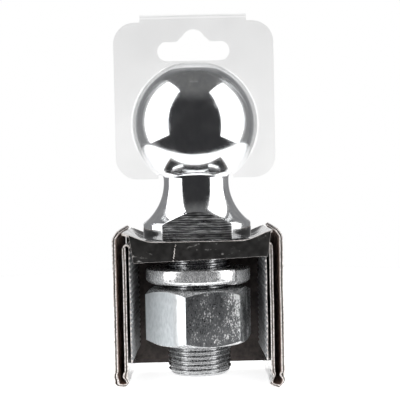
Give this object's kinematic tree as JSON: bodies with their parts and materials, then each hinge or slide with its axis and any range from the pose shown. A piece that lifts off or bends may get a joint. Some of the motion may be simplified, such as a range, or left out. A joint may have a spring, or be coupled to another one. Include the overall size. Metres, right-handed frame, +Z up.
{
  "type": "trailer hitch ball in a hanging shop pack",
  "caption": "Chromed trailer hitch ball with threaded shank, split lock washer and hex nut, held in a clear folded cover with a hang hole and an open-fronted folded carton.",
  "frame": {"origin": "on the shank's axis, at the foot of the carton", "axes": "+Z up along the shank and ball axis, -Y the carton's open front, +X the right side seen from the front"},
  "size_m": [0.0656, 0.05, 0.1467],
  "materials": {
    "chrome": "bright chrome plate on a forging, with faint turning lines",
    "spring_steel": "bright zinc plated spring steel",
    "zinc": "mottled zinc plate, rough on the faces",
    "clear_pet": "clear thermoformed sheet",
    "black_board": "black printed, lightly glossy board with pale cut edges",
    "liner_board": "black single-faced fluted board"
  },
  "bodies": {
    "ball": {"hitch_ball": "chrome"},
    "washer": {"lock_washer": "spring_steel"},
    "nut": {"hex_nut": "zinc"},
    "carton": {"top_panel": "black_board", "front_flap": "black_board", "back_wall": "black_board", "outer_wall_left": "black_board", "outer_wall_right": "black_board", "bottom_fold_left": "black_board", "bottom_fold_right": "black_board", "return_panel_left": "black_board", "return_panel_right": "black_board", "liner_hook_left": "liner_board", "liner_hook_right": "liner_board", "fluted_liner_left": "liner_board", "fluted_liner_right": "liner_board"},
    "cover": {"cover_back": "clear_pet", "cover_fold": "clear_pet"},
    "cover_door": {"cover_front": "clear_pet"}
  },
  "joints": [
    {"name": "nut_travel", "type": "slide", "parent": "ball", "child": "washer", "axis": [0, 0, 1], "range_m": [-0.0125, 0.003]},
    {"name": "nut_spin", "type": "hinge", "parent": "washer", "child": "nut", "pos_m": [0, 0, 0.027], "axis": [0, 0, 1], "range_deg": [-2500, 615]},
    {"name": "carton_turn", "type": "hinge", "parent": "ball", "child": "carton", "pos_m": [0, 0, 0.0577], "axis": [0, 0, 1], "continuous": true},
    {"name": "cover_turn", "type": "hinge", "parent": "ball", "child": "cover", "pos_m": [0, 0, 0.1031], "axis": [0, 0, 1], "continuous": true},
    {"name": "cover_open", "type": "hinge", "parent": "cover", "child": "cover_door", "pos_m": [0, 0, 0.1461], "axis": [-1, 0, 0], "range_deg": [0, 170]}
  ],
  "couplings": [
    {"joint": "nut_spin", "follows": "nut_travel", "rad_per_m": 3463.2}
  ]
}
